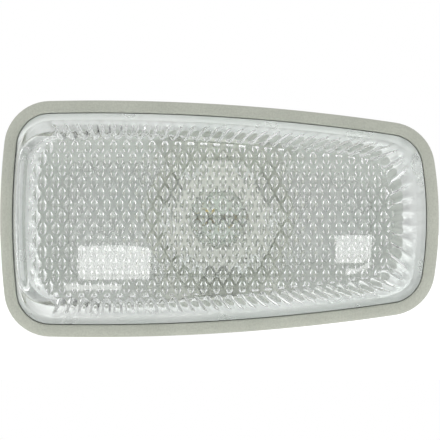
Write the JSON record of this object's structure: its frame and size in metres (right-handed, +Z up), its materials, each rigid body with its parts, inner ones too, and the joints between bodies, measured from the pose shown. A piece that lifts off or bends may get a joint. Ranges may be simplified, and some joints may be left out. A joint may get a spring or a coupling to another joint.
{
  "type": "vehicle indicator lamp",
  "caption": "Side indicator lamp with a clear lens of diamond optics over a silvered tray, a grey panel seal and a twist-lock bulb holder with a connector socket.",
  "frame": {"origin": "middle of the lamp's length on its horizontal midline, in the plane where the back of the seal bears on the body panel", "axes": "+X along the lamp from its wide end to its narrow end, +Y through the panel into the car, +Z up; the lens faces -Y"},
  "size_m": [0.076, 0.044, 0.041],
  "materials": {
    "grey_elastomer": "matte, fine texture",
    "clear_acrylic": "clear, polished",
    "silvered_moulding": "grey moulding with a bright metal film inside",
    "pale_nylon": "satin moulding",
    "pale_silicone": "matte, slightly cloudy",
    "contact_brass": "bright stamped strip",
    "bulb_glass": "clear, smooth",
    "lead_wire": "drawn wire",
    "tungsten": "wound wire"
  },
  "bodies": {
    "lamp": {"panel_seal": "grey_elastomer", "lens": "clear_acrylic", "housing": "silvered_moulding"},
    "holder": {"bulb_holder": "pale_nylon", "holder_ring": "pale_silicone", "terminal_a": "contact_brass", "terminal_b": "contact_brass", "bulb_glass": "bulb_glass", "lead_wire_a": "lead_wire", "lead_wire_b": "lead_wire", "filament": "tungsten"}
  },
  "joints": [
    {"name": "holder_twist", "type": "hinge", "parent": "lamp", "child": "holder", "pos_m": [0, 0.019, 0], "axis": [0, 1, 0], "range_deg": [0, 60]}
  ]
}
